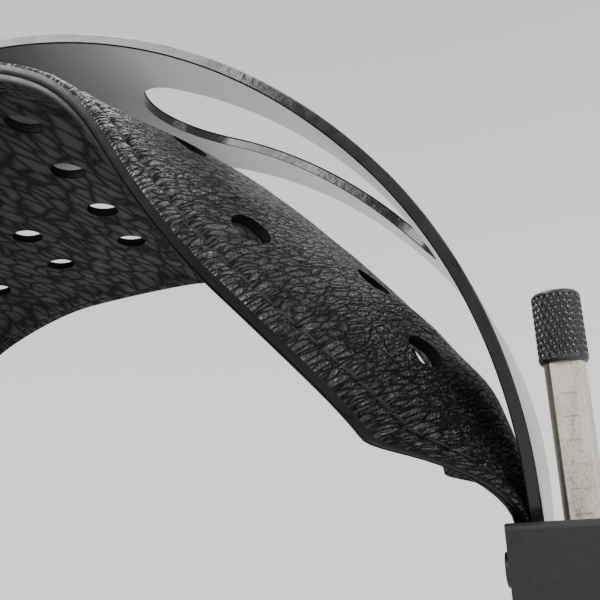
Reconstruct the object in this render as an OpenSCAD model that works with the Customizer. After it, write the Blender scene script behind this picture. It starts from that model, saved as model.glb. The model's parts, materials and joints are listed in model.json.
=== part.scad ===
// Suspension headband of an over-ear headphone: spring bow, leather strap, clamp blocks,
// notched adjuster rods and ear-cup yokes. Origin: the crown of the strap's underside, which
// rests on the head. +X is the wearer's side to side, -Y the front, +Z up. Millimetres.

/* [Bow] */
// Half span of the bow, to its outer face at the blocks
bow_half_span = 73; // [68:0.5:80]
// Thickness of the spring steel
bow_t = 1.4; // [1:0.1:1.8]
// Radius of the crown arc
crown_r = 77.1; // [74:0.1:80]
// Turn of the crown arc on each side of the middle, degrees
crown_turn = 54.8; // [50:0.1:58]
// Straight length above each block
bow_straight = 3.8; // [2:0.1:8]
// Lean of each leg, which turns the blocks and rods inwards as they go down, degrees
leg_lean = 2.8; // [0:0.1:4]
// Half width at the crown
bow_half_w_top = 19.3; // [17:0.1:24]
// Half width where the bow enters a block
bow_half_w_end = 7; // [6.5:0.1:7]
// Half width of each long slot
slot_half_w = 8.9; // [6:0.1:10]
// Distance of each slot's upper tip from the middle
slot_tip_x = 26; // [20:0.5:32]
// Height of each slot's lower tip above the block
slot_low = 34; // [30:0.5:40]

/* [Strap] */
// Thickness of the upper leather ply
ply_t = 1.3; // [1:0.1:1.5]
// Thickness of the lining
lining_t = 1.1; // [0.8:0.1:1.2]
// Half width at the crown
strap_half_w = 38; // [34:0.5:40]
// Half width at the blocks
strap_half_w_end = 7; // [6.5:0.1:7]
// Turn spread evenly along half of the strap, degrees
turn_even = 20.5; // [16:0.1:22]
// Turn gathered at the shoulder, degrees
turn_shoulder = 37.9; // [34:0.1:42]
// How far the long edges hang below the middle at the flank
edge_droop = 11; // [8:0.1:14]
// How far the long edges stand above the middle at the crown
crown_dish = 1.2; // [0:0.1:2]
// Share of the thickness that is left where the ends are skived for the blocks
skived = 0.67; // [0.6:0.01:0.8]

/* [Block] */
// Width of a clamp block, side to side
block_w = 13.4; // [13:0.1:15]
// Depth of a clamp block, front to back
block_d = 20; // [20:0.5:24]
// Height of a clamp block
block_h = 21; // [20:0.5:22]
// Radius on the block's long edges, which run side to side
block_edge_r = 0.8; // [0.4:0.1:1.2]

/* [Adjuster] */
// Diameter of the adjuster rod
rod_d = 4.6; // [4.5:0.05:4.8]
// Distance of each rod's axis from the middle
rod_x = 76.8; // [76.7:0.1:77.2]
// Distance between notches
notch_pitch = 2.6; // [2.4:0.1:2.8]
// Number of notches
notch_n = 15; // [15:1:16]
// Height of the knurled cap's lower rim above the block
cap_base = 17.3; // [17:0.1:18]
// Height of the knurled cap
cap_h = 8.4; // [8:0.1:10]
// Diameter of the knurled cap
cap_d = 5.6; // [5.4:0.1:6]
// Radial clearance of each running fit
fit_gap = 0.05; // [0.03:0.01:0.08]

/* [Yoke] */
// Inner radius of the yoke's arc
yoke_r = 50; // [45:0.5:55]
// Width of the yoke, side to side
yoke_w = 7; // [6:0.5:9]
// Thickness of the yoke, across the arc
yoke_t = 3; // [2.5:0.1:4]
// Distance from a block's underside down to the yoke's hub at rest
yoke_drop = 14; // [13.5:0.5:16]

/* [Hidden] */
$fn = 64;
eps = 0.01;

// The strap's middle line, from the crown (u = 0) to the block (u = 1)
half_steps = 32;
cross_steps = 8;
shoulder_from = 0.274;
shoulder_to = 0.532;
end_from = 0.759;
width_power = 3.95;
droop_from = 0.1;
droop_to = 0.67;
droop_end = 0.87;
droop_power = 1.87;
strap_end_x = bow_half_span - bow_t / cos(leg_lean);
tail_len = 14;
skive_from = 0.9;

function smooth(u, a, b) = let (t = max(0, min(1, (u - a) / (b - a)))) t * t * (3 - 2 * t);
function heading(u) = turn_even * u + turn_shoulder * smooth(u, shoulder_from, shoulder_to)
    + (90 + leg_lean - turn_even - turn_shoulder) * smooth(u, end_from, 1);
function stride(i) = let (h = heading((i - 0.5) / half_steps)) [cos(h), -sin(h)];
strides = [for (i = 0, p = [0, 0]; i <= half_steps; i = i + 1, p = p + stride(i)) p];
strap_step = strap_end_x / strides[half_steps][0];
strap_t = ply_t + lining_t;
block_top = strides[half_steps][1] * strap_step + strap_t;
function half_width(u) = strap_half_w_end
    + (strap_half_w - strap_half_w_end) * (1 - pow(u, width_power));
function skive(u) = 1 - (1 - skived) * smooth(u, skive_from, 1);
function droop(u) = -crown_dish + (edge_droop + crown_dish) * smooth(u, droop_from, droop_to)
    - edge_droop * smooth(u, droop_end, 1);

// A point of the strap: i counts the steps from the middle, v runs from -1 to 1 across,
// and depth is the distance below the upper face
function strap_point(i, v, depth) =
    let (k = abs(i), u = min(1, k / half_steps), p = strides[min(k, half_steps)] * strap_step,
         h = heading(u), tail = k > half_steps ? tail_len : 0, side = i < 0 ? -1 : 1,
         d = depth * skive(u) + droop(u) * pow(abs(v), droop_power))
    [side * (p[0] + cos(h) * tail - sin(h) * d), half_width(u) * v,
     strap_t + p[1] - sin(h) * tail - cos(h) * d];

// The bow, as arcs seen from the front, with a straight leg that leans by leg_lean
shoulder_r = (bow_half_span - crown_r * sin(crown_turn) + bow_straight * sin(leg_lean))
    / (cos(leg_lean) - sin(crown_turn));
bow_rise = crown_r * (1 - cos(crown_turn)) + shoulder_r * (cos(crown_turn) + sin(leg_lean))
    + bow_straight * cos(leg_lean);
bow_apex = block_top + bow_rise;
shoulder_x = (crown_r - shoulder_r) * sin(crown_turn);
shoulder_z = bow_apex - crown_r + (crown_r - shoulder_r) * cos(crown_turn);
taper = bow_half_w_top - bow_half_w_end;
side_r = (bow_rise * bow_rise + taper * taper) / (2 * taper);
arc_steps = 24;

// A point of the bow in the XZ plane, where it has turned by a, at a depth below its outer face
function bow_point(a, depth) = a <= crown_turn
    ? [(crown_r - depth) * sin(a), bow_apex - crown_r + (crown_r - depth) * cos(a)]
    : [shoulder_x + (shoulder_r - depth) * sin(a), shoulder_z + (shoulder_r - depth) * cos(a)];

// One side of the bow's outline, from the apex to the end of the tail in the block
function bow_side(depth) = concat(
    [for (i = [0 : arc_steps]) bow_point(crown_turn * i / arc_steps, depth)],
    [for (i = [1 : arc_steps])
        bow_point(crown_turn + (90 + leg_lean - crown_turn) * i / arc_steps, depth)],
    [bow_point(90 + leg_lean, depth)
        - (bow_straight + tail_len) * [sin(leg_lean), cos(leg_lean)]]);

// The clamp block
leg_face = bow_half_span - bow_t;
edge_break = 0.2;
pocket_gap = 0.2;
pocket_depth = 14.5;
pocket_half_w = strap_half_w_end + pocket_gap;
plate_t = 0.8;
plate_top = block_top - 0.3;
plate_h = 14;
clamp_face = leg_face - strap_t * skived;
block_inner = clamp_face - plate_t + 0.1;
screw_y = 4.7;
screw_z = block_top - 4.5;
screw_r = 1;
screw_len = 7;
screw_gap = 0.1;
screw_head_r = 1.8;
screw_head_h = 0.7;
socket_r = 0.7;

// The rod, its bushes and its detent
rod_r = rod_d / 2;
flat_y = -1.71;
notch_top = block_top + 13.55;
notch_half_w = 0.95;
notch_r = 0.3;
notch_depth = 0.3;
bush_r = 3.2;
bush_h = 5.4;
bush_inset = 0.4;
spigot_r = 1.6;
spigot_h = 6;
detent_z = notch_top - 9 * notch_pitch;
plunger_r = 1.25;
nose_len = 0.6;
nose_half_w = 0.8;
nose_r = 0.24;
plunger_y = flat_y - 0.03 - nose_len;
plunger_len = 2.8;
set_screw_len = 2.2;
spring_gap = 0.02;
wire_r = 0.14;
spring_r = 0.85;
spring_turns = 4;
spring_sides = 5;
spring_rings = 10;

// The yoke and its pivots
hub_top = block_top - block_h - yoke_drop;
hub_h = 6;
hub_r = 5.5;
hub_play = 0.05;
axle_r = 1.7;
yoke_centre = hub_top - hub_h - yoke_r;
pivot_drop = 5;
boss_r = 5.5;
boss_proud = 0.5;
cup_bore_r = 2;
bush_wall = 0.7;
flange_r = 4;
flange_t = 0.5;
swivel_washer_r = 3.4;
swivel_washer_h = 0.5;
swivel_head_h = 1.8;
swivel_thread_r = 1;
swivel_thread_h = 5;

// Draws its children for the right or, mirrored, for the left
module side(name) {
    if (name == "left") mirror([1, 0, 0]) children();
    else children();
}

// The same for what belongs to a leg: upright shapes, turned about the leg's foot by its lean
module leg(name) {
    side(name) translate([bow_half_span, 0, block_top]) rotate([0, leg_lean, 0])
        translate([-bow_half_span, 0, -block_top]) children();
}

// A rectangle with round corners, centred
module round_rect(w, h, r) {
    square([w - 2 * r, h], center = true);
    square([w, h - 2 * r], center = true);
    for (x = [-1, 1], y = [-1, 1]) translate([x * (w / 2 - r), y * (h / 2 - r)]) circle(r);
}

// A box made where three extruded outlines meet: its long edges are round, the rest broken
module block_body() {
    intersection() {
        linear_extrude(block_h + 1, center = true) round_rect(block_w, block_d, edge_break);
        rotate([90, 0, 0]) linear_extrude(block_d + 1, center = true)
            round_rect(block_w, block_h, edge_break);
        rotate([90, 0, 90]) linear_extrude(block_w + 1, center = true)
            round_rect(block_d, block_h, block_edge_r);
    }
}

module bow_blank() {
    outer = bow_side(0);
    inner = bow_side(bow_t);
    n = len(outer) - 1;
    rotate([90, 0, 0]) linear_extrude(3 * bow_half_w_top, center = true) polygon(concat(
        outer, [for (i = [n : -1 : 0]) inner[i]],
        [for (i = [1 : n]) [-inner[i][0], inner[i][1]]],
        [for (i = [n : -1 : 1]) [-outer[i][0], outer[i][1]]]));
}

// The side outline of the bow: a lens between two large arcs, and the straight tails
module bow_outline() {
    intersection_for (s = [-1, 1]) translate([0, s * (side_r - bow_half_w_top), bow_apex])
        rotate([0, 90, 0]) cylinder(r = side_r, h = 200, center = true, $fn = 360);
    translate([-bow_half_span - 5, -bow_half_w_end, block_top - tail_len - 5])
        cube([2 * bow_half_span + 10, 2 * bow_half_w_end, tail_len + 6]);
}

module slot_cutter() {
    tip = slot_tip_x + slot_half_w;
    low = block_top + slot_low + slot_half_w;
    translate([tip, -slot_half_w, low]) cube([100, 2 * slot_half_w, 100]);
    translate([tip, 0, low]) cylinder(r = slot_half_w, h = 100);
    translate([tip, 0, low]) rotate([0, 90, 0]) cylinder(r = slot_half_w, h = 100);
}

module screw_holes(r) {
    for (y = [-screw_y, screw_y]) translate([block_inner - 5, y, screw_z])
        rotate([0, 90, 0]) cylinder(r = r, h = screw_len + 5, $fn = 32);
}

module spring_bow() {
    color("dimgray") difference() {
        intersection() {
            bow_blank();
            bow_outline();
        }
        for (s = ["right", "left"]) {
            side(s) slot_cutter();
            leg(s) screw_holes(screw_r + screw_gap);
        }
    }
}

// A ply of the strap, between two depths below its upper face. Its upper and lower facets are
// split along the same diagonals, so that two plies meet without a gap.
module strap_ply(top, bottom) {
    n = half_steps + 1;
    m = cross_steps;
    ring = 2 * (m + 1);
    points = [for (i = [-n : n]) each concat(
        [for (j = [0 : m]) strap_point(i, 2 * j / m - 1, top)],
        [for (j = [m : -1 : 0]) strap_point(i, 2 * j / m - 1, bottom)])];
    sides = [for (i = [0 : 2 * n - 1], j = [0 : ring - 1])
        let (a = i * ring + j, b = i * ring + (j + 1) % ring, c = b + ring, d = a + ring)
        each i == 0 || i == 2 * n - 1 ? [[a, b, c, d]]
            : j < m ? [[a, b, c], [a, c, d]] : [[a, b, d], [b, c, d]]];
    caps = [[for (j = [ring - 1 : -1 : 0]) j], [for (j = [0 : ring - 1]) 2 * n * ring + j]];
    polyhedron(points, concat(sides, caps), convexity = 6);
}

module strap_cut(top, bottom) {
    difference() {
        strap_ply(top, bottom);
        for (s = ["right", "left"]) leg(s) screw_holes(screw_r + screw_gap);
    }
}

module strap_upper_ply() {
    color([0.07, 0.07, 0.08]) strap_cut(0, ply_t);
}

module strap_lining() {
    color([0.13, 0.12, 0.12]) strap_cut(ply_t, strap_t);
}

module rod_bore(r) {
    translate([rod_x, 0, block_top - block_h - 1]) cylinder(r = r, h = block_h + 2);
}

module clamp_block(name) {
    color([0.1, 0.1, 0.11]) leg(name) difference() {
        translate([block_inner + block_w / 2, 0, block_top - block_h / 2]) block_body();
        translate([block_inner - 1, -pocket_half_w, block_top - pocket_depth])
            cube([bow_half_span - block_inner + 1, 2 * pocket_half_w, pocket_depth + 1]);
        rod_bore(bush_r);
        screw_holes(screw_r);
        translate([rod_x, 0, detent_z]) rotate([90, 0, 0])
            cylinder(r = plunger_r + fit_gap, h = block_d, $fn = 32);
    }
}

module clamp_plate(name) {
    color([0.2, 0.2, 0.21]) leg(name) difference() {
        translate([clamp_face - plate_t, -strap_half_w_end, plate_top - plate_h])
            cube([plate_t, 2 * strap_half_w_end, plate_h]);
        screw_holes(screw_r + screw_gap);
    }
}

module clamp_screws(name) {
    color([0.15, 0.15, 0.16]) leg(name) for (y = [-screw_y, screw_y])
        translate([clamp_face - plate_t, y, screw_z]) rotate([0, 90, 0]) difference() {
            union() {
                cylinder(r = screw_r, h = screw_len, $fn = 32);
                translate([0, 0, -screw_head_h]) cylinder(r = screw_head_r, h = screw_head_h);
            }
            translate([0, 0, -screw_head_h - 1]) cylinder(r = socket_r, h = 1.5, $fn = 6);
        }
}

module bush(name, top) {
    color("ivory") leg(name) translate([rod_x, 0, top - bush_h]) difference() {
        cylinder(r = bush_r, h = bush_h);
        translate([0, 0, -1]) cylinder(r = rod_r + fit_gap, h = bush_h + 2);
    }
}

module upper_bush(name) {
    bush(name, block_top - bush_inset);
}

module lower_bush(name) {
    bush(name, block_top - block_h + bush_inset + bush_h);
}

// A rounded bar along X, extruded along Y, used for the notches and the plunger's nose
module notch_bar(half_w, r, len) {
    rotate([90, 0, 0]) linear_extrude(len) {
        square([2 * (half_w - r), 2 * r], center = true);
        for (s = [-1, 1]) translate([s * (half_w - r), 0]) circle(r, $fn = 24);
    }
}

module detent_plunger(name) {
    color("silver") leg(name) translate([rod_x, plunger_y, detent_z]) {
        rotate([90, 0, 0]) cylinder(r = plunger_r, h = plunger_len, $fn = 32);
        translate([0, nose_len, 0]) notch_bar(nose_half_w, nose_r, nose_len + eps);
    }
}

// A point on the wire of the detent spring
function coil_point(k, j, len) =
    let (n = spring_turns * spring_rings, a = 360 * k / spring_rings, b = 360 * j / spring_sides,
         rr = spring_r + wire_r * cos(b), travel = len - 2 * wire_r)
    [rr * cos(a), -(wire_r + travel * k / n) + wire_r * sin(b), rr * sin(a)];

module detent_spring(name) {
    n = spring_turns * spring_rings;
    m = spring_sides;
    start = plunger_y - plunger_len - spring_gap;
    len = start - (-block_d / 2 + set_screw_len + spring_gap) - 0.2;
    points = [for (k = [0 : n], j = [0 : m - 1]) coil_point(k, j, len)];
    sides = [for (k = [0 : n - 1], j = [0 : m - 1])
        [k * m + j, (k + 1) * m + j, (k + 1) * m + (j + 1) % m, k * m + (j + 1) % m]];
    caps = [[for (j = [0 : m - 1]) j], [for (j = [m - 1 : -1 : 0]) n * m + j]];
    color("gray") leg(name) translate([rod_x, start, detent_z])
        polyhedron(points, concat(sides, caps), convexity = 6);
}

module detent_set_screw(name) {
    color([0.15, 0.15, 0.16]) leg(name) translate([rod_x, 0.2 - block_d / 2, detent_z])
        rotate([-90, 0, 0]) difference() {
            cylinder(r = plunger_r + fit_gap, h = set_screw_len, $fn = 32);
            translate([0, 0, -1]) cylinder(r = 0.75, h = 2.4, $fn = 6);
        }
}

module adjuster_rod(name) {
    flat_top = block_top + cap_base;
    flat_low = notch_top - (notch_n - 1) * notch_pitch - 3;
    color([0.78, 0.74, 0.66]) leg(name) translate([rod_x, 0, 0]) difference() {
        union() {
            translate([0, 0, hub_top]) cylinder(r = rod_r, h = flat_top - hub_top);
            translate([0, 0, flat_top - eps]) cylinder(r = spigot_r, h = spigot_h + eps);
            translate([0, 0, hub_top - hub_h - hub_play])
                cylinder(r = axle_r, h = hub_h + hub_play + eps);
        }
        translate([-rod_r, -2 * rod_r, flat_low])
            cube([2 * rod_r, 2 * rod_r + flat_y, flat_top - flat_low]);
        for (k = [0 : notch_n - 1])
            translate([0, flat_y + notch_depth, notch_top - k * notch_pitch])
                notch_bar(notch_half_w, notch_r, 1);
        translate([0, 0, hub_top - hub_h - 1])
            cylinder(r = swivel_thread_r, h = swivel_thread_h + 1, $fn = 32);
    }
}

module knurled_cap(name) {
    bevel = 0.4;
    cap_r = cap_d / 2;
    flutes = 20;
    color([0.06, 0.06, 0.07]) leg(name) translate([rod_x, 0, block_top + cap_base]) difference() {
        rotate_extrude() polygon([[spigot_r, 0], [cap_r - bevel, 0], [cap_r, bevel],
            [cap_r, cap_h - bevel], [cap_r - bevel, cap_h], [0, cap_h],
            [0, spigot_h], [spigot_r, spigot_h]]);
        for (k = [0 : flutes - 1]) rotate([0, 0, k * 360 / flutes])
            translate([cap_r + 0.05, 0, -1]) cylinder(r = 0.2, h = cap_h + 2, $fn = 16);
    }
}

module swivel_washer(name) {
    color("silver") leg(name)
        translate([rod_x, 0, hub_top - hub_h - hub_play - swivel_washer_h]) difference() {
            cylinder(r = swivel_washer_r, h = swivel_washer_h);
            translate([0, 0, -1]) cylinder(r = swivel_thread_r + screw_gap, h = 2, $fn = 32);
        }
}

module swivel_screw(name) {
    seat = hub_top - hub_h - hub_play - swivel_washer_h;
    color([0.15, 0.15, 0.16]) leg(name) translate([rod_x, 0, seat]) difference() {
        union() {
            translate([0, 0, -swivel_head_h]) cylinder(r = 2.4, h = swivel_head_h);
            cylinder(r = swivel_thread_r, h = swivel_thread_h, $fn = 32);
        }
        translate([0, 0, -swivel_head_h - 1]) cylinder(r = socket_r, h = 2, $fn = 6);
    }
}

module yoke_arm() {
    rotate([90, 0, 90]) rotate_extrude(angle = 180, $fn = 180)
        translate([yoke_r + yoke_t / 2, 0]) round_rect(yoke_t, yoke_w, 1);
    for (s = [-1, 1]) translate([0, s * (yoke_r + yoke_t / 2), -pivot_drop / 2])
        linear_extrude(pivot_drop, center = true) round_rect(yoke_w, yoke_t, 1);
}

module yoke(name) {
    boss_w = yoke_t + 2 * boss_proud;
    color([0.09, 0.09, 0.1]) leg(name) translate([rod_x, 0, yoke_centre]) difference() {
        union() {
            yoke_arm();
            translate([0, 0, yoke_r]) cylinder(r = hub_r, h = hub_h - hub_play);
            for (s = [-1, 1]) translate([0, s * (yoke_r + yoke_t / 2), -pivot_drop])
                rotate([90, 0, 0]) cylinder(r = boss_r, h = boss_w, center = true);
        }
        translate([0, 0, yoke_r - 1]) cylinder(r = axle_r + fit_gap, h = hub_h + 2);
        translate([0, 0, yoke_r - 1]) cylinder(r = swivel_washer_r + 0.4, h = 1);
        translate([0, 0, -pivot_drop]) rotate([90, 0, 0])
            cylinder(r = cup_bore_r + bush_wall, h = 3 * yoke_r, center = true);
    }
}

// A flanged bush in each end of the yoke, bored for a shoulder screw of the ear cup
module pivot_bushes(name) {
    inner = yoke_r - boss_proud;
    wall_len = yoke_t + 2 * boss_proud;
    color("ivory") leg(name) for (s = [0, 180])
        translate([rod_x, 0, yoke_centre - pivot_drop]) rotate([0, 0, s]) translate([0, inner, 0])
            rotate([-90, 0, 0]) difference() {
                union() {
                    translate([0, 0, -flange_t]) cylinder(r = flange_r, h = flange_t);
                    cylinder(r = cup_bore_r + bush_wall, h = wall_len);
                }
                translate([0, 0, -flange_t - 1]) cylinder(r = cup_bore_r, h = wall_len + flange_t + 2);
            }
}

spring_bow();
strap_upper_ply();
strap_lining();
clamp_block("right");  // clamp_block_right
clamp_block("left");  // clamp_block_left
clamp_plate("right");  // clamp_plate_right
clamp_plate("left");  // clamp_plate_left
clamp_screws("right");  // clamp_screws_right
clamp_screws("left");  // clamp_screws_left
upper_bush("right");  // upper_bush_right
upper_bush("left");  // upper_bush_left
lower_bush("right");  // lower_bush_right
lower_bush("left");  // lower_bush_left
detent_plunger("right");  // detent_plunger_right
detent_plunger("left");  // detent_plunger_left
detent_spring("right");  // detent_spring_right
detent_spring("left");  // detent_spring_left
detent_set_screw("right");  // detent_set_screw_right
detent_set_screw("left");  // detent_set_screw_left
adjuster_rod("right");  // adjuster_rod_right
adjuster_rod("left");  // adjuster_rod_left
knurled_cap("right");  // knurled_cap_right
knurled_cap("left");  // knurled_cap_left
swivel_washer("right");  // swivel_washer_right
swivel_washer("left");  // swivel_washer_left
swivel_screw("right");  // swivel_screw_right
swivel_screw("left");  // swivel_screw_left
yoke("right");  // yoke_right
yoke("left");  // yoke_left
pivot_bushes("right");  // pivot_bushes_right
pivot_bushes("left");  // pivot_bushes_left
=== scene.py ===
"""Looks of a headphone suspension headband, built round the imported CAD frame.

Lengths in the code are millimetres, and MM turns them into metres. The strap and the bow are
sheets: each is triangulated flat, in s (along) and t (across), and then laid on its curve.
"""
import json
import math
import bpy
import numpy as np
from mathutils import Matrix, Vector
from mathutils.geometry import delaunay_2d_cdt


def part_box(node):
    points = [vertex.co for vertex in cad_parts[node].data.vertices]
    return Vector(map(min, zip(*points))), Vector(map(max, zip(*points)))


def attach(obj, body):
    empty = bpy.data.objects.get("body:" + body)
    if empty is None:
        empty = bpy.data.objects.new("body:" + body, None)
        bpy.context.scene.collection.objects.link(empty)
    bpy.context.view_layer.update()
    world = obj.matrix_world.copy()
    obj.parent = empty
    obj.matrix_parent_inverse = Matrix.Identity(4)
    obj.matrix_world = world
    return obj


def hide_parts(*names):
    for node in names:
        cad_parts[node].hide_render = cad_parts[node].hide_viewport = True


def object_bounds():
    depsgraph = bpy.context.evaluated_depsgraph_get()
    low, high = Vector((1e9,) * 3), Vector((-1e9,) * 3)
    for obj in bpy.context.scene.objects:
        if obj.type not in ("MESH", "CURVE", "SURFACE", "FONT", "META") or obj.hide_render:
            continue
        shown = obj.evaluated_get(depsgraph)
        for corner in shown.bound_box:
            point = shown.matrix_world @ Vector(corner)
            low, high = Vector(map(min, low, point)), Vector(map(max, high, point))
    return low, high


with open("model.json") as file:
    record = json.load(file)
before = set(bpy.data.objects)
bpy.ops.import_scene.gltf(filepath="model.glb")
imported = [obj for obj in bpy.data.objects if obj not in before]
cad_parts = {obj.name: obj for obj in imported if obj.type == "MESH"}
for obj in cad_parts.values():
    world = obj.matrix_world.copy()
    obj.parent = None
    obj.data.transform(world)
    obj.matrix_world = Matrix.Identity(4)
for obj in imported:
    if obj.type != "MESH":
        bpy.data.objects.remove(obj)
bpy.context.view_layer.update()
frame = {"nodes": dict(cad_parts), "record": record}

SIDES = {"right": 1, "left": -1}
MM = 0.001


def node_box(node):
    """A node's lowest and highest corners, in millimetres."""
    low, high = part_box(node)
    return Vector(low) / MM, Vector(high) / MM


# ---------------------------------------------------------------- measures from the frame

BOW_HIGH = node_box("spring_bow")[1]
STRAP_HIGH = node_box("strap_upper_ply")[1]
JOINTS = {row["name"]: row for row in frame["record"]["behaviour"]["joints"]}
LEAN = math.asin(JOINTS["rod_slide_right"]["axis"][0])

# The bow, as in the CAD: two arcs and a straight, leaning leg on each side
BOW_T = 1.4
HALF_SPAN = 73.0
BOW_APEX = BOW_HIGH.z
CROWN_R = 77.1
CROWN_TURN = math.radians(54.8)
LEG_TURN = math.pi / 2 + LEAN
BOW_STRAIGHT = 3.8
SHOULDER_R = (HALF_SPAN - CROWN_R * math.sin(CROWN_TURN) + BOW_STRAIGHT * math.sin(LEAN)) \
    / (math.cos(LEAN) - math.sin(CROWN_TURN))
SHOULDER_X = (CROWN_R - SHOULDER_R) * math.sin(CROWN_TURN)
SHOULDER_Z = BOW_APEX - CROWN_R + (CROWN_R - SHOULDER_R) * math.cos(CROWN_TURN)
CROWN_LEN = CROWN_R * CROWN_TURN
SHOULDER_LEN = SHOULDER_R * (LEG_TURN - CROWN_TURN)
BOW_W_TOP = BOW_HIGH.y
END_HALF_W = 7.0
SLOT_HALF_W = 8.9
SLOT_TIP_X = 26.0
SLOT_LOW = 34.0
TAIL = 14.0
CAP_H = 8.4
SCREW_DROP, SCREW_Y, SCREW_HOLE_R = 4.5, 4.7, 1.1

# The strap, as in the CAD
PLY_T = 1.3
STRAP_T = 2.4
STRAP_HALF_W = STRAP_HIGH.y
STRAP_END_X = HALF_SPAN - BOW_T / math.cos(LEAN)
TURNS = (20.5, 37.9)
SHOULDER_SPAN = (0.274, 0.532)
END_FROM = 0.759
WIDTH_POWER = 3.95
DISH, DROOP = 1.2, 11.0
DROOP_SPAN = (0.1, 0.67)
DROOP_END = 0.87
DROOP_POWER = 1.87
SKIVED, SKIVE_FROM = 0.67, 0.9


def smooth(x, a, b):
    t = np.clip((np.asarray(x, float) - a) / (b - a), 0, 1)
    return t * t * (3 - 2 * t)


# ---------------------------------------------------------------- the two curved sheets

def bow_place(s, t, depth):
    """The bow's outer face at s along and t across, moved inwards by depth."""
    a = np.abs(s)
    crown = a < CROWN_LEN
    angle = np.where(crown, a / CROWN_R,
                     np.minimum(CROWN_TURN + (a - CROWN_LEN) / SHOULDER_R, LEG_TURN))
    straight = np.maximum(a - CROWN_LEN - SHOULDER_LEN, 0)
    x = np.where(crown, CROWN_R * np.sin(angle), SHOULDER_X + SHOULDER_R * np.sin(angle))
    z = np.where(crown, BOW_APEX - CROWN_R + CROWN_R * np.cos(angle),
                 SHOULDER_Z + SHOULDER_R * np.cos(angle))
    x = x - straight * math.sin(LEAN) - depth * np.sin(angle)
    z = z - straight * math.cos(LEAN) - depth * np.cos(angle)
    return np.stack([x * np.where(s < 0, -1, 1), t, z], -1)


def bow_half_width(s):
    drop = BOW_APEX - bow_place(np.asarray(s, float), 0 * np.asarray(s, float), 0)[..., 2]
    inside = np.maximum(SIDE_R ** 2 - drop ** 2, 0)
    return np.maximum(BOW_W_TOP - SIDE_R + np.sqrt(inside), END_HALF_W)


def strap_tables(n=600):
    """Arc length, x, z and heading of the strap's middle line, from the crown to the block."""
    u = np.linspace(0, 1, n)
    turn = TURNS[0] * u + TURNS[1] * smooth(u, *SHOULDER_SPAN)
    turn = np.radians(turn + (math.degrees(LEG_TURN) - sum(TURNS)) * smooth(u, END_FROM, 1))
    mid = (turn[1:] + turn[:-1]) / 2
    x = np.concatenate([[0], np.cumsum(np.cos(mid))])
    z = -np.concatenate([[0], np.cumsum(np.sin(mid))])
    scale = STRAP_END_X / x[-1]
    return u * scale * (n - 1), x * scale, z * scale, turn


S_TAB, X_TAB, Z_TAB, H_TAB = strap_tables()
STRAP_LEN = S_TAB[-1]
BLOCK_TOP = STRAP_T + Z_TAB[-1]
BOW_RISE = BOW_APEX - BLOCK_TOP
BOW_TAPER = BOW_W_TOP - END_HALF_W
SIDE_R = (BOW_RISE ** 2 + BOW_TAPER ** 2) / (2 * BOW_TAPER)


def strap_half_width(s):
    u = np.minimum(np.abs(s) / STRAP_LEN, 1)
    return END_HALF_W + (STRAP_HALF_W - END_HALF_W) * (1 - u ** WIDTH_POWER)


def strap_place(s, t, depth):
    """The strap's upper face at s along and t across, moved inwards by depth."""
    k = np.minimum(np.abs(s), STRAP_LEN)
    tail = np.maximum(np.abs(s) - STRAP_LEN, 0)
    u = k / STRAP_LEN
    droop = -DISH + (DROOP + DISH) * smooth(u, *DROOP_SPAN) - DROOP * smooth(u, DROOP_END, 1)
    skive = 1 - (1 - SKIVED) * smooth(u, SKIVE_FROM, 1)
    d = depth * skive + droop * np.abs(t / strap_half_width(s)) ** DROOP_POWER
    head = np.interp(k, S_TAB, H_TAB)
    x = np.interp(k, S_TAB, X_TAB) + np.cos(head) * tail - np.sin(head) * d
    z = STRAP_T + np.interp(k, S_TAB, Z_TAB) - np.sin(head) * tail - np.cos(head) * d
    return np.stack([x * np.where(s < 0, -1, 1), t, z], -1)


# ---------------------------------------------------------------- mesh making

def link(name, mesh, materials):
    piece = bpy.data.objects.new(name, mesh)
    bpy.context.scene.collection.objects.link(piece)
    for mat in materials:
        mesh.materials.append(mat)
    return piece


def make_piece(name, points, faces, materials, uv=None, sharp=40, slots=None):
    mesh = bpy.data.meshes.new(name)
    mesh.from_pydata((np.asarray(points) * MM).tolist(), [], faces)
    if slots is not None:
        mesh.polygons.foreach_set("material_index", slots)
    if uv is not None:
        layer = mesh.uv_layers.new(name="flat")
        index = np.zeros(len(mesh.loops), int)
        mesh.loops.foreach_get("vertex_index", index)
        layer.data.foreach_set("uv", (np.asarray(uv)[index] * MM).ravel())
    mesh.validate()
    mesh.shade_smooth()
    mesh.set_sharp_from_angle(angle=math.radians(sharp))
    return link(name, mesh, materials)


def ring_normals(loop):
    """Outward normals of a closed flat loop, for either winding."""
    step = np.roll(loop, -1, 0) - np.roll(loop, 1, 0)
    normal = np.stack([step[:, 1], -step[:, 0]], 1)
    area = np.sum(loop[:, 0] * np.roll(loop[:, 1], -1) - np.roll(loop[:, 0], -1) * loop[:, 1])
    return normal / np.linalg.norm(normal, axis=1, keepdims=True) * np.sign(area)


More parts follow.
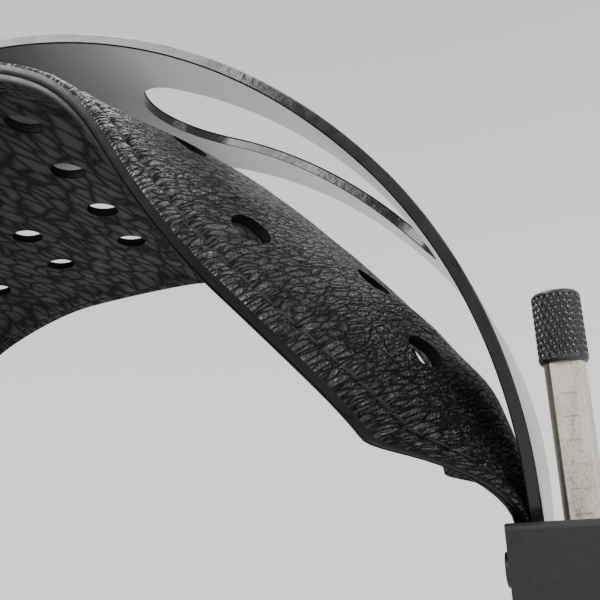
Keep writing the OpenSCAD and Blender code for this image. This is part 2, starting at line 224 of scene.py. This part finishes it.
def sheet_piece(name, outline, holes, inner, place, depths, materials, relief, edge, rim,
                wrap=(0, 0)):
    """A sheet with holes: two faces laid on place() and walls that follow an edge profile.

    relief(s, t) lifts the faces, above and below; edge and rim list the wall's rings as
    (outward offset, share of the depth), for the outline and for the holes. materials are
    those of the faces, the outer edge and the holes' walls; wrap is how many of the edge's
    bands, from above and from below, are made of the faces' material instead.
    """
    loops = [outline] + holes
    flat = np.concatenate(loops + [inner])
    edges, start = [], 0
    for loop in loops:
        n = len(loop)
        edges += [(start + i, start + (i + 1) % n) for i in range(n)]
        start += n
    result = delaunay_2d_cdt([Vector(p) for p in flat], edges, [], 1, 1e-6)
    points = np.array([tuple(p) for p in result[0]])
    where = {}
    for new, olds in enumerate(result[3]):
        for old in olds:
            where[old] = new
    tris = np.array([f for f in result[2] if len(f) == 3])
    middle = points[tris].mean(1)
    keep = np.ones(len(tris), bool)
    for hole in holes:
        centre = hole.mean(0)
        reach = np.linalg.norm(hole - centre, axis=1).max()
        near = np.where(np.linalg.norm(middle - centre, axis=1) < reach)[0]
        keep[near[inside(middle[near], hole)]] = False
    tris = tris[keep]
    a, b, c = (points[tris[:, i]] for i in range(3))
    turn = (b[:, 0] - a[:, 0]) * (c[:, 1] - a[:, 1]) - (b[:, 1] - a[:, 1]) * (c[:, 0] - a[:, 0])
    tris[turn < 0] = tris[turn < 0][:, ::-1]
    top, bottom = depths
    s, t = points.T
    lift_top, lift_bottom = relief(s, t)
    verts = [place(s, t, top - lift_top), place(s, t, bottom + lift_bottom)]
    uvs = [points, points]
    count = len(points)
    faces = [tuple(f) for f in tris] + [tuple(int(i) + count for i in f[::-1]) for f in tris]
    faces = [tuple(int(i) for i in f) for f in faces]
    slots = [0] * len(faces)
    total = 2 * count
    start = 0
    for k, loop in enumerate(loops):
        n = len(loop)
        ids = [where[start + i] for i in range(n)]
        start += n
        base = points[ids]
        normal = ring_normals(base) * (1 if k == 0 else -1)
        rings = [ids]
        lift_a, lift_b = lift_top[ids], lift_bottom[ids]
        for offset, share in (edge if k == 0 else rim):
            moved = base + normal * offset
            depth = (top - lift_a) * (1 - share) + (bottom + lift_b) * share
            verts.append(place(moved[:, 0], moved[:, 1], depth))
            uvs.append(moved)
            rings.append(list(range(total, total + n)))
            total += n
        rings.append([i + count for i in ids])
        ccw = np.sum(base[:, 0] * np.roll(base[:, 1], -1) - np.roll(base[:, 0], -1) * base[:, 1]) > 0
        flip = ccw if k == 0 else not ccw
        for band, (upper, lower) in enumerate(zip(rings[:-1], rings[1:])):
            wrapped = k == 0 and (band < wrap[0] or band >= len(rings) - 1 - wrap[1])
            for i in range(n):
                j = (i + 1) % n
                quad = (upper[i], lower[i], lower[j], upper[j])
                faces.append(tuple(int(v) for v in (quad if flip else quad[::-1])))
                slots.append(0 if wrapped else min(k, 1) + 1)
    return make_piece(name, np.concatenate(verts), faces, materials, np.concatenate(uvs),
                      slots=slots)


def inside(points, loop):
    """Which points lie inside a closed loop, by crossings."""
    x, y = points[:, :1], points[:, 1:]
    x0, y0 = loop.T
    x1, y1 = np.roll(loop, -1, 0).T
    spans = (y0 > y) != (y1 > y)
    cross = x0 + (y - y0) * (x1 - x0) / np.where(y1 == y0, 1e-12, y1 - y0)
    return np.sum(spans & (x < cross), 1) % 2 == 1


def grid(reach, half_width, pitch, margin):
    """Inner points on a staggered grid that keeps a margin from the long edges."""
    points = []
    for i, s in enumerate(np.arange(-reach + pitch, reach, pitch * 0.87)):
        w = float(half_width(s)) - margin
        if w > pitch:
            t = np.arange(-w, w, pitch) + (pitch / 2 if i % 2 else 0)
            points.append(np.stack([0 * t + s, t], 1))
    return np.concatenate(points)


def circle(centre, r, n=40):
    a = np.linspace(0, 2 * math.pi, n, endpoint=False)
    return np.stack([centre[0] + r * np.cos(a), centre[1] + r * np.sin(a)], 1)


def clear_of(points, loops, gap):
    """The points that stay a gap away from every loop and outside it."""
    keep = np.ones(len(points), bool)
    for loop in loops:
        low, high = loop.min(0) - gap, loop.max(0) + gap
        near = np.where(((points > low) & (points < high)).all(1))[0]
        far = np.linalg.norm(points[near][:, None] - loop[None], axis=2).min(1) > gap
        keep[near] = far & ~inside(points[near], loop)
    return points[keep]


def long_outline(reach, half_width, pitch):
    """The closed outline of a long sheet, with square ends."""
    s = np.arange(-reach, reach + pitch / 2, pitch)
    w = half_width(s)
    end = np.arange(-w[-1] + 1, w[-1] - 0.5, 1.0)
    return np.concatenate([np.stack([s, -w], 1), np.stack([0 * end + s[-1], end], 1),
                           np.stack([s, w], 1)[::-1], np.stack([0 * end + s[0], end], 1)[::-1]])


# ---------------------------------------------------------------- materials

def material(name):
    mat = bpy.data.materials.new(name)
    mat.use_nodes = True
    return mat, mat.node_tree.nodes, mat.node_tree.links, mat.node_tree.nodes["Principled BSDF"]


def coords(nodes, links, kind="Object", stretch=(1, 1, 1)):
    where = nodes.new("ShaderNodeTexCoord")
    mapping = nodes.new("ShaderNodeMapping")
    mapping.inputs["Scale"].default_value = stretch
    links.new(where.outputs[kind], mapping.inputs["Vector"])
    return mapping.outputs["Vector"]


def noise(nodes, links, vector, scale, detail=3, roughness=0.5, distortion=0):
    tex = nodes.new("ShaderNodeTexNoise")
    tex.inputs["Scale"].default_value = scale
    tex.inputs["Detail"].default_value = detail
    tex.inputs["Roughness"].default_value = roughness
    tex.inputs["Distortion"].default_value = distortion
    links.new(vector, tex.inputs["Vector"])
    return tex.outputs["Fac"]


def cells(nodes, links, vector, scale, feature="F1"):
    tex = nodes.new("ShaderNodeTexVoronoi")
    tex.feature = feature
    tex.inputs["Scale"].default_value = scale
    links.new(vector, tex.inputs["Vector"])
    return tex.outputs["Distance"]


def ramp(nodes, links, value, stops):
    """A colour ramp: stops are (position, grey or colour)."""
    node = nodes.new("ShaderNodeValToRGB")
    colours = [(p, (c, c, c, 1) if isinstance(c, (int, float)) else (*c, 1)) for p, c in stops]
    elements = node.color_ramp.elements
    while len(elements) < len(colours):
        elements.new(0.5)
    for element, (position, colour) in zip(elements, colours):
        element.position = position
        element.color = colour
    links.new(value, node.inputs["Fac"])
    return node.outputs["Color"]


def combine(nodes, links, kind, a, b):
    node = nodes.new("ShaderNodeMath")
    node.operation = kind
    links.new(a, node.inputs[0])
    if isinstance(b, (int, float)):
        node.inputs[1].default_value = b
    else:
        links.new(b, node.inputs[1])
    return node.outputs[0]


def bump(nodes, links, height, distance, strength, after=None):
    node = nodes.new("ShaderNodeBump")
    node.inputs["Strength"].default_value = strength
    node.inputs["Distance"].default_value = distance * MM
    links.new(height, node.inputs["Height"])
    if after is not None:
        links.new(after, node.inputs["Normal"])
    return node.outputs["Normal"]


def leather(name, dark, light, gloss, spec, crease, pebble, relief):
    """Leather: long pebbles between creases that run across the strap, over rounder grain.

    crease and pebble are the grain's pitch in millimetres, and relief its depth.
    """
    mat, nodes, links, bsdf = material(name)
    plain = coords(nodes, links, "UV")
    bend = nodes.new("ShaderNodeTexNoise")
    bend.inputs["Scale"].default_value = 420
    bend.inputs["Detail"].default_value = 3
    links.new(plain, bend.inputs["Vector"])
    shift = nodes.new("ShaderNodeVectorMath")
    shift.operation = "MULTIPLY_ADD"
    links.new(bend.outputs["Color"], shift.inputs[0])
    shift.inputs[1].default_value = (0.0006, 0.0005, 0)
    links.new(plain, shift.inputs[2])
    stretch = nodes.new("ShaderNodeMapping")
    stretch.inputs["Scale"].default_value = (1, 0.3, 1)
    stretch.inputs["Rotation"].default_value = (0, 0, math.radians(7))
    links.new(shift.outputs["Vector"], stretch.inputs["Vector"])
    creases = cells(nodes, links, stretch.outputs["Vector"], 1000 / crease, "DISTANCE_TO_EDGE")
    grain = cells(nodes, links, shift.outputs["Vector"], 1000 / pebble, "DISTANCE_TO_EDGE")
    wear = noise(nodes, links, plain, 70, 4, 0.6)
    fine = noise(nodes, links, plain, 4200, 3, 0.6)
    deep = ramp(nodes, links, creases, [(0.0, 0.0), (0.16, 0.75), (0.5, 1.0)])
    round_tops = ramp(nodes, links, grain, [(0.0, 0.0), (0.2, 0.7), (0.6, 1.0)])
    links.new(ramp(nodes, links, wear, [(0.3, dark), (0.7, light)]), bsdf.inputs["Base Color"])
    worn = combine(nodes, links, "MULTIPLY", deep, wear)
    links.new(ramp(nodes, links, worn, [(0.1, gloss + 0.22), (0.55, gloss)]), bsdf.inputs["Roughness"])
    first = bump(nodes, links, deep, relief, 1.0)
    second = bump(nodes, links, round_tops, relief * 0.45, 0.9, first)
    links.new(bump(nodes, links, fine, relief * 0.12, 0.6, second), bsdf.inputs["Normal"])
    links.new(ramp(nodes, links, creases, [(0.0, spec * 0.1), (0.22, spec)]),
              bsdf.inputs["Specular IOR Level"])
    return mat


def painted_edge(name, base, rough, spec):
    mat, nodes, links, bsdf = material(name)
    vector = coords(nodes, links)
    mottle = noise(nodes, links, vector, 600, 4, 0.6)
    links.new(ramp(nodes, links, mottle, [(0.3, rough - 0.1), (0.7, rough + 0.1)]), bsdf.inputs["Roughness"])
    links.new(ramp(nodes, links, mottle, [(0.3, base * 0.7), (0.7, base * 1.3)]), bsdf.inputs["Base Color"])
    bsdf.inputs["Specular IOR Level"].default_value = spec
    links.new(bump(nodes, links, noise(nodes, links, vector, 500, 3), 0.05, 0.5), bsdf.inputs["Normal"])
    return mat


def cut_edge():
    """The bow's cut edge: black, patchy in its gloss, with a faint ripple."""
    mat, nodes, links, bsdf = material("bow_edge")
    vector = coords(nodes, links)
    ripple = noise(nodes, links, vector, 1100, 2, 0.5)
    patch = noise(nodes, links, vector, 260, 3, 0.6)
    links.new(ramp(nodes, links, patch, [(0.35, 0.08), (0.65, 0.3)]), bsdf.inputs["Roughness"])
    links.new(ramp(nodes, links, patch, [(0.3, 0.004), (0.7, 0.012)]), bsdf.inputs["Base Color"])
    bsdf.inputs["Specular IOR Level"].default_value = 0.3
    links.new(bump(nodes, links, ripple, 0.045, 0.8), bsdf.inputs["Normal"])
    return mat


def metal(name, colours, rough, scale=400, stretch=(1, 1, 1), relief=0.0, metallic=1.0, spec=0.5):
    """Metal or paint with a mottled colour and roughness; stretch draws the mottle out."""
    mat, nodes, links, bsdf = material(name)
    vector = coords(nodes, links, "Object", stretch)
    mottle = noise(nodes, links, vector, scale, 4, 0.6)
    links.new(ramp(nodes, links, mottle, [(0.3, colours[0]), (0.7, colours[1])]), bsdf.inputs["Base Color"])
    links.new(ramp(nodes, links, mottle, [(0.3, rough[0]), (0.7, rough[1])]), bsdf.inputs["Roughness"])
    bsdf.inputs["Metallic"].default_value = metallic
    bsdf.inputs["Specular IOR Level"].default_value = spec
    if relief:
        fine = noise(nodes, links, vector, scale * 3, 3)
        links.new(bump(nodes, links, fine, relief, 0.6), bsdf.inputs["Normal"])
    return mat


def make_materials():
    return {
        "leather_outer": leather("leather_outer", 0.002, 0.005, 0.27, 0.6, 0.62, 0.5, 0.26),
        "leather_lining": leather("leather_lining", 0.005, 0.009, 0.52, 0.25, 1.6, 0.42, 0.035),
        "edge_paint": painted_edge("edge_paint", 0.003, 0.36, 0.2),
        "hole_wall": painted_edge("hole_wall", 0.002, 0.8, 0.08),
        "thread": metal("thread", ((0.004,) * 3, (0.01,) * 3), (0.5, 0.7), 1500, relief=0.05,
                        metallic=0, spec=0.3),
        "bow_steel": metal("bow_steel", ((0.24, 0.24, 0.245), (0.28, 0.28, 0.285)), (0.2, 0.26), 160),
        "bow_edge": cut_edge(),
        "block_black": metal("block_black", ((0.008, 0.009, 0.009), (0.013, 0.014, 0.014)),
                             (0.5, 0.62), 900, relief=0.02, metallic=0, spec=0.3),
        "plate_black": metal("plate_black", ((0.01,) * 3, (0.016,) * 3), (0.4, 0.5), 700,
                             relief=0.01, metallic=0, spec=0.35),
        "screw_black": metal("screw_black", ((0.02,) * 3, (0.04,) * 3), (0.3, 0.45), 900, metallic=0.6),
        "bush_plastic": metal("bush_plastic", ((0.66, 0.63, 0.55), (0.72, 0.69, 0.6)), (0.4, 0.5), 500,
                              metallic=0),
        "plunger_steel": metal("plunger_steel", ((0.5,) * 3, (0.62,) * 3), (0.25, 0.4), 900),
        "spring_steel": metal("spring_steel", ((0.4,) * 3, (0.5,) * 3), (0.25, 0.4), 900),
        "rod_nickel": worn_nickel(),
        "cap_black": metal("cap_black", ((0.004,) * 3, (0.012,) * 3), (0.22, 0.38), 1200,
                           metallic=0, spec=0.6),
        "washer_steel": metal("washer_steel", ((0.5,) * 3, (0.6,) * 3), (0.3, 0.4), 900),
        "yoke_black": metal("yoke_black", ((0.008, 0.009, 0.009), (0.013, 0.014, 0.014)),
                            (0.45, 0.58), 900, relief=0.02, metallic=0, spec=0.3),
    }


def worn_nickel():
    """Satin nickel, champagne-toned: speckled, with a cloudier wear drawn out along the rod."""
    mat, nodes, links, bsdf = material("rod_nickel")
    speckle = noise(nodes, links, coords(nodes, links), 3600, 3, 0.7)
    cloud = noise(nodes, links, coords(nodes, links, stretch=(1, 1, 0.25)), 700, 4, 0.65)
    both = combine(nodes, links, "ADD", speckle, cloud)
    half = combine(nodes, links, "MULTIPLY", both, 0.5)
    colour = ramp(nodes, links, half, [(0.36, (0.36, 0.33, 0.27)), (0.46, (0.58, 0.54, 0.46)),
                                       (0.58, (0.74, 0.70, 0.62))])
    links.new(colour, bsdf.inputs["Base Color"])
    links.new(ramp(nodes, links, half, [(0.35, 0.42), (0.65, 0.24)]), bsdf.inputs["Roughness"])
    bsdf.inputs["Metallic"].default_value = 1.0
    links.new(bump(nodes, links, speckle, 0.02, 0.6), bsdf.inputs["Normal"])
    return mat


# ---------------------------------------------------------------- the pieces

def slot_loop(side):
    """One long slot of the bow, round at both ends, in s and t."""
    s = np.linspace(0, CROWN_LEN + SHOULDER_LEN, 1500)
    middle = bow_place(s, 0 * s, 0)
    a = np.radians(np.linspace(-90, 90, 25))
    tip_x = SLOT_TIP_X + SLOT_HALF_W * (1 - np.cos(a))
    tip = np.stack([np.interp(tip_x, middle[:, 0], s), -SLOT_HALF_W * np.sin(a)], 1)
    low_z = BLOCK_TOP + SLOT_LOW + SLOT_HALF_W * (1 - np.cos(a))
    low = np.stack([np.interp(-low_z, -middle[:, 2], s), SLOT_HALF_W * np.sin(a)], 1)
    run = np.arange(tip[:, 0].max() + 1, low[:, 0].min() - 0.5, 1.0)
    near = np.stack([run, 0 * run - SLOT_HALF_W], 1)
    far = np.stack([run, 0 * run + SLOT_HALF_W], 1)
    loop = np.concatenate([near, low, far[::-1], tip])
    return loop * [side, 1]


def screw_holes(foot):
    """The clamp screws' holes, below the foot of each leg."""
    return [circle((side * (foot + SCREW_DROP), y), SCREW_HOLE_R, 20)
            for side in (1, -1) for y in (-SCREW_Y, SCREW_Y)]


def make_bow(mats):
    foot = CROWN_LEN + SHOULDER_LEN + BOW_STRAIGHT
    reach = foot + TAIL
    bevel = 0.16
    outline = long_outline(reach, lambda s: bow_half_width(s) - bevel, 1.0)
    holes = [slot_loop(1), slot_loop(-1)] + screw_holes(foot)
    inner = clear_of(grid(reach, bow_half_width, 2.2, 2.2), holes, 1.2)
    share = bevel / BOW_T
    bow = sheet_piece("spring_bow_form", outline, holes, inner, bow_place, (0, BOW_T),
                      (mats["bow_steel"], mats["bow_edge"], mats["bow_edge"]),
                      lambda s, t: (0 * s, 0 * s), [(bevel, share), (bevel, 1 - share)],
                      [(-bevel, share), (-bevel, 1 - share)])
    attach(bow, "headband")
    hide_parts("spring_bow")


# The strap's finish: its seam and stitches, its holes, its rounded edge, and how much thinner
# than the CAD's plies it is away from the seam, above and below
SEAM = 2.3
STITCH = 2.9
HOLE_R = 2.35
EDGE_ROUND = 0.35
THIN_TOP, THIN_BELOW = 0.2, 0.95

# The lattice of holes: one hole's place, the two steps, and where it stops
HOLE_ORIGIN = np.array([16.6, 0.4])
HOLE_ALONG, HOLE_ACROSS = np.array([16.1, -3.0]), np.array([-3.1, 12.9])
HOLE_REACH = 86
HOLE_MARGIN = 8.2
HOLE_FRONT, HOLE_BACK = -27.5, 24
# How far the holes of the flanks stray from it
HOLE_IN, HOLE_OUT, HOLE_ASIDE = 6.6, 4, 2.8


def edge_slope(s):
    return np.arctan(strap_half_width(np.abs(s) + 0.5) - strap_half_width(np.abs(s) - 0.5))


def edge_distance(s, t):
    return (strap_half_width(s) - np.abs(t)) * np.cos(edge_slope(s))


def strap_holes():
    """Centres of the punched holes: a slanting lattice, drawn in and out a little at the flanks."""
    centres = []
    for i in range(-9, 9):
        for j in range(-5, 6):
            s, t = HOLE_ORIGIN + i * HOLE_ALONG + j * HOLE_ACROSS
            margin = strap_half_width(s) - abs(t)
            if abs(s) > HOLE_REACH or margin < HOLE_MARGIN or not HOLE_FRONT < t < HOLE_BACK:
                continue
            flank = smooth(abs(s), 38, 50)
            outer = smooth(abs(t), 10, 18)
            inwards = HOLE_IN * flank * outer
            outwards = HOLE_OUT * smooth(abs(s), 56, 64) * (1 - smooth(abs(s), 69, 77)) * (1 - outer)
            sideways = HOLE_ASIDE * flank * outer
            s = s + math.copysign(1, s) * (outwards - inwards)
            centres.append((s, t + math.copysign(sideways, t)))
    return centres


def seam_lines(offsets, pitch):
    """Points along lines at fixed distances from both long edges."""
    s = np.arange(-STRAP_LEN + 1, STRAP_LEN - 1, pitch)
    points = []
    for d in offsets:
        t = strap_half_width(s) - d / np.cos(edge_slope(s))
        ok = t > 1
        points += [np.stack([s[ok], t[ok]], 1), np.stack([s[ok], -t[ok]], 1)]
    return np.concatenate(points)


def stitch_track(s):
    return strap_half_width(s) - SEAM / np.cos(edge_slope(s))


def stitch_places():
    """Middles of the stitches, as s values at an even pitch along the seam."""
    s = np.linspace(0, STRAP_LEN - 5, 2000)
    t = stitch_track(s)
    length = np.concatenate([[0], np.cumsum(np.hypot(np.diff(s), np.diff(t)))])
    half = np.interp(np.arange(STITCH / 2, length[-1], STITCH), length, s)
    return np.concatenate([-half[::-1], half])


def ripple(s, t, seed):
    """Gentle hand-made unevenness: crossing waves with fixed phases."""
    rng = np.random.default_rng(seed)
    out = 0 * s
    for _ in range(14):
        wave = rng.uniform(3.5, 14)
        lean = rng.normal(0, 0.5)
        phase = rng.uniform(0, 2 * math.pi)
        bend = 0.6 * np.sin(t / rng.uniform(5, 12) + phase)
        way = (s * math.cos(lean) + t * math.sin(lean)) * 2 * math.pi / wave
        out = out + np.sin(way + phase + bend) * wave
    return out / 60


def upper_relief(s, t):
    """The upper ply: a puffed roll outside the seam, a pit at each stitch, gathers beside it."""
    d = edge_distance(s, t)
    live = smooth(STRAP_LEN - np.abs(s), 0, 8)
    groove = -0.5 * np.exp(-((d - SEAM) / 0.5) ** 2)
    roll = 0.25 * np.exp(-((d - 1.1) / 0.8) ** 2)
    thin = -THIN_TOP * smooth(d, SEAM + 1, 9)
    marks = stitch_places()
    ends = (marks[1:] + marks[:-1]) / 2
    nearest = np.abs(s[:, None] - ends[None]).min(1)
    pits = -0.35 * np.exp(-(nearest / 0.55) ** 2 - ((d - SEAM) / 0.45) ** 2)
    spread = np.exp(-np.maximum(d - SEAM, 0) / 2.4) * smooth(d, 0.3, SEAM)
    gather = -0.13 * spread * np.cos(nearest * 2 * math.pi / STITCH)
    uneven = 0.16 * ripple(s, t, 4) * smooth(d, 1, 6)
    return (groove + roll + thin + pits + gather + uneven) * live, 0 * s


def lining_relief(s, t):
    """The lining: a shallow groove along the seam, thin in the field and along the flanks' edges."""
    d = edge_distance(s, t)
    live = smooth(STRAP_LEN - np.abs(s), 0, 8)
    groove = -0.3 * np.exp(-((d - SEAM) / 0.6) ** 2)
    flank = smooth(np.abs(s), 30, 62)
    thin = -THIN_BELOW * np.maximum(smooth(d, SEAM + 0.5, 8), flank)
    return 0 * s, (groove * (1 - flank) + thin + 0.1 * ripple(s, t, 9) * smooth(d, 1, 6)) * live


def make_ply(node, depths, slot, relief, edge, wrap, mats):
    reach = STRAP_LEN + TAIL
    centres = strap_holes()
    screws = screw_holes(STRAP_LEN)
    holes = [circle(c, HOLE_R) for c in centres] + screws
    outline = long_outline(reach, lambda s: strap_half_width(s) - EDGE_ROUND, 1.0)
    seams = (0.6, 0.9, 1.2, 1.5, 1.8, 2.05, 2.3, 2.55, 2.9, 3.3, 3.8, 4.4, 5.1)
    inner = np.concatenate([grid(reach, strap_half_width, 1.1, 5.6), seam_lines(seams, 0.62)])
    inner = clear_of(inner, [circle(c, HOLE_R + 1.4) for c in centres] + screws, 0.2)
    rings = [circle(c, HOLE_R + k) for c in centres for k in (0.45, 1.0)]
    inner = np.concatenate([inner] + rings)
    inner = inner[strap_half_width(inner[:, 0]) - np.abs(inner[:, 1]) > EDGE_ROUND + 0.12]
    rim = [(-0.1, 0.12), (-0.14, 0.5), (-0.1, 0.88)]
    ply = sheet_piece(node + "_form", outline, holes, inner, strap_place, depths,
                      (mats[slot], mats["edge_paint"], mats["hole_wall"]), relief, edge, rim, wrap)
    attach(ply, "headband")
    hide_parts(node)


def make_strap(mats):
    """Both plies. Each one's outer corner is rounded and its inner one only broken."""
    upper = [(0.14, 0.03), (0.27, 0.12), (0.34, 0.28), (0.35, 0.55), (0.35, 0.88), (0.27, 0.98)]
    lower = [(0.27, 0.02), (0.35, 0.12), (0.35, 0.45), (0.34, 0.72), (0.27, 0.88), (0.14, 0.97)]
    make_ply("strap_upper_ply", (0, PLY_T), "leather_outer", upper_relief, upper, (3, 0), mats)
    make_ply("strap_lining", (PLY_T, STRAP_T), "leather_lining", lining_relief, lower, (0, 2), mats)


def make_stitches(mats):
    """One rounded thread bead per stitch, on both faces, sunk in the seam's groove."""
    verts, faces = [], []
    around, along = 8, 7
    length, r = STITCH * 0.80, 0.24
    for depth, lift in ((0.0, 0.42), (STRAP_T, -0.2)):
        for side in (1, -1):
            for s in stitch_places():
                base = len(verts)
                for i in range(along):
                    a = math.pi * i / (along - 1)
                    q = s - math.cos(a) * length / 2 * math.cos(float(edge_slope(s)))
                    mid = strap_place(np.array(q), np.array(side * stitch_track(q)), depth + lift)
                    up = strap_place(np.array(q), np.array(side * stitch_track(q)), depth + lift - 1) - mid
                    out = strap_place(np.array(q), np.array(side * (stitch_track(q) + 1)), depth + lift) - mid
                    size = r * (0.25 + 0.75 * math.sin(a))
                    for j in range(around):
                        b = 2 * math.pi * j / around
                        verts.append(mid + up * math.cos(b) * size + out * math.sin(b) * size)
                for i in range(along - 1):
                    for j in range(around):
                        k = (j + 1) % around
                        quad = (base + i * around + j, base + i * around + k,
                                base + (i + 1) * around + k, base + (i + 1) * around + j)
                        faces.append(quad if side > 0 else quad[::-1])
                first = tuple(base + j for j in range(around))
                last = tuple(base + (along - 1) * around + j for j in range(around))
                faces += [first[::-1], last] if side > 0 else [first, last[::-1]]
    stitches = make_piece("strap_stitching", verts, faces, [mats["thread"]], sharp=80)
    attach(stitches, "headband")


def make_cap(name, mats):
    """The knurled cap: a turned body whose side carries a diamond knurl."""
    low, high = node_box("knurled_cap_" + name)
    radius, height = (high.y - low.y) / 2, CAP_H
    around, rows, starts = 300, 120, 22
    bevel, bore_r, bore_h = 0.45, 1.65, 5.9
    a = np.linspace(0, 2 * math.pi, around, endpoint=False)
    aa, zz = np.meshgrid(a, np.linspace(0, height, rows))
    twist = zz / radius * math.tan(math.radians(28))
    cuts = [np.abs(((aa + w * twist) * starts / (2 * math.pi)) % 1 - 0.5) * 2 for w in (1, -1)]
    knurl = 0.24 * sum(np.minimum(1, 1.5 * (1 - cut)) - 1 for cut in cuts)
    ends = np.minimum(zz, height - zz)
    round_off = bevel * (1 - np.sqrt(np.clip(ends / bevel, 0, 1)))
    r = radius - 0.02 + np.maximum(knurl, -0.3) * smooth(ends, 0.35, 0.75) - round_off
    verts = np.stack([r * np.cos(aa), r * np.sin(aa), zz], -1).reshape(-1, 3).tolist()
    faces = []

    def join(first, second):
        for j in range(around):
            k = (j + 1) % around
            faces.append((first + j, first + k, second + k, second + j))

    def ring(ring_r, z):
        verts.extend([ring_r * math.cos(q), ring_r * math.sin(q), z] for q in a)
        return len(verts) - around

    for i in range(rows - 1):
        join(i * around, (i + 1) * around)
    last = (rows - 1) * around
    for share in (0.9, 0.5):
        start = ring((radius - bevel) * share, height)
        join(last, start)
        last = start
    faces.append(tuple(last + j for j in range(around)))
    mouth, end = ring(bore_r, 0), ring(bore_r, bore_h)
    join(mouth, 0)
    join(end, mouth)
    faces.append(tuple(end + j for j in range(around))[::-1])
    turn = np.array(Matrix.Rotation(SIDES[name] * LEAN, 3, "Y"))
    points = (np.array(verts) - [0, 0, height / 2]) @ turn.T + np.array((low + high) / 2)
    cap = make_piece("knurled_cap_%s_form" % name, points, faces, [mats["cap_black"]], sharp=50)
    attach(cap, "rod_" + name)
    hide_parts("knurled_cap_" + name)


def dress_frame(mats):
    """Gives each CAD node that stays the material of its slot."""
    slots = {row["node"]: row["material_slot"] for row in frame["record"]["subparts"]}
    for node, obj in frame["nodes"].items():
        name = slots[node]
        if name in mats:
            for slot in obj.material_slots:
                slot.material = mats[name]


# ---------------------------------------------------------------- stage, light, camera

CAMERA_PLACE = Vector((80.34, -96.91, -54.50))
CAMERA_YAW, CAMERA_PITCH, CAMERA_ROLL = (math.radians(v) for v in (19.18, 18.56, 5.28))
CAMERA_LENS = 49.64
FLOOR_HALF = 2.0
FLOOR_GAP = 0.0005


def make_camera():
    """Close to the right-hand block, a little below its top, looking up towards the crown."""
    camera = bpy.data.cameras.new("camera")
    camera.lens = CAMERA_LENS
    camera.sensor_width = 36
    camera.clip_start = 0.005
    view = bpy.data.objects.new("camera", camera)
    turn = Matrix.Rotation(CAMERA_YAW, 4, "Z") @ Matrix.Rotation(math.pi / 2 + CAMERA_PITCH, 4, "X")
    place = Matrix.Translation(CAMERA_PLACE * MM)
    view.matrix_world = place @ turn @ Matrix.Rotation(-CAMERA_ROLL, 4, "Z")
    bpy.context.scene.collection.objects.link(view)
    bpy.context.scene.camera = view


def make_light(name, place, target, size, power):
    light = bpy.data.lights.new(name, "AREA")
    light.shape = "RECTANGLE"
    light.size, light.size_y = (v * MM for v in size)
    light.energy = power
    lamp = bpy.data.objects.new(name, light)
    lamp.location = Vector(place) * MM
    lamp.rotation_euler = (Vector(target) - Vector(place)).to_track_quat("-Z", "Y").to_euler()
    bpy.context.scene.collection.objects.link(lamp)


def make_stage():
    low = Vector(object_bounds()[0])
    mesh = bpy.data.meshes.new("floor")
    corners = [(x * FLOOR_HALF, y * FLOOR_HALF, 0) for x, y in ((-1, -1), (1, -1), (1, 1), (-1, 1))]
    mesh.from_pydata(corners, [], [(0, 1, 2, 3)])
    floor = link("floor", mesh, [floor_material()])
    floor.location.z = low.z - FLOOR_GAP


def floor_material():
    mat, _, _, bsdf = material("floor")
    bsdf.inputs["Base Color"].default_value = (0.72, 0.72, 0.70, 1)
    bsdf.inputs["Roughness"].default_value = 0.8
    return mat


def make_world():
    """A pale studio: darker grey overhead, paler towards the floor."""
    world = bpy.data.worlds.new("studio")
    world.use_nodes = True
    nodes, links = world.node_tree.nodes, world.node_tree.links
    where = nodes.new("ShaderNodeTexCoord")
    split = nodes.new("ShaderNodeSeparateXYZ")
    links.new(where.outputs["Generated"], split.inputs[0])
    shade = ramp(nodes, links, split.outputs["Z"],
                 [(0.0, (0.84, 0.84, 0.82)), (0.25, (0.78, 0.78, 0.765)), (0.7, (0.55, 0.55, 0.55))])
    back = nodes["Background"]
    links.new(shade, back.inputs["Color"])
    back.inputs["Strength"].default_value = 1.5
    bpy.context.scene.world = world


def main():
    mats = make_materials()
    make_camera()
    make_world()
    make_stage()
    make_light("key", (-120, -260, 260), (20, 0, -10), (220, 220), 2.4)
    make_light("side", (330, -120, 120), (40, 0, -20), (160, 240), 0.6)
    make_light("top", (20, 120, 320), (20, 0, 0), (260, 200), 0.8)
    dress_frame(mats)
    make_bow(mats)
    make_strap(mats)
    make_stitches(mats)
    for name in SIDES:
        make_cap(name, mats)


main()
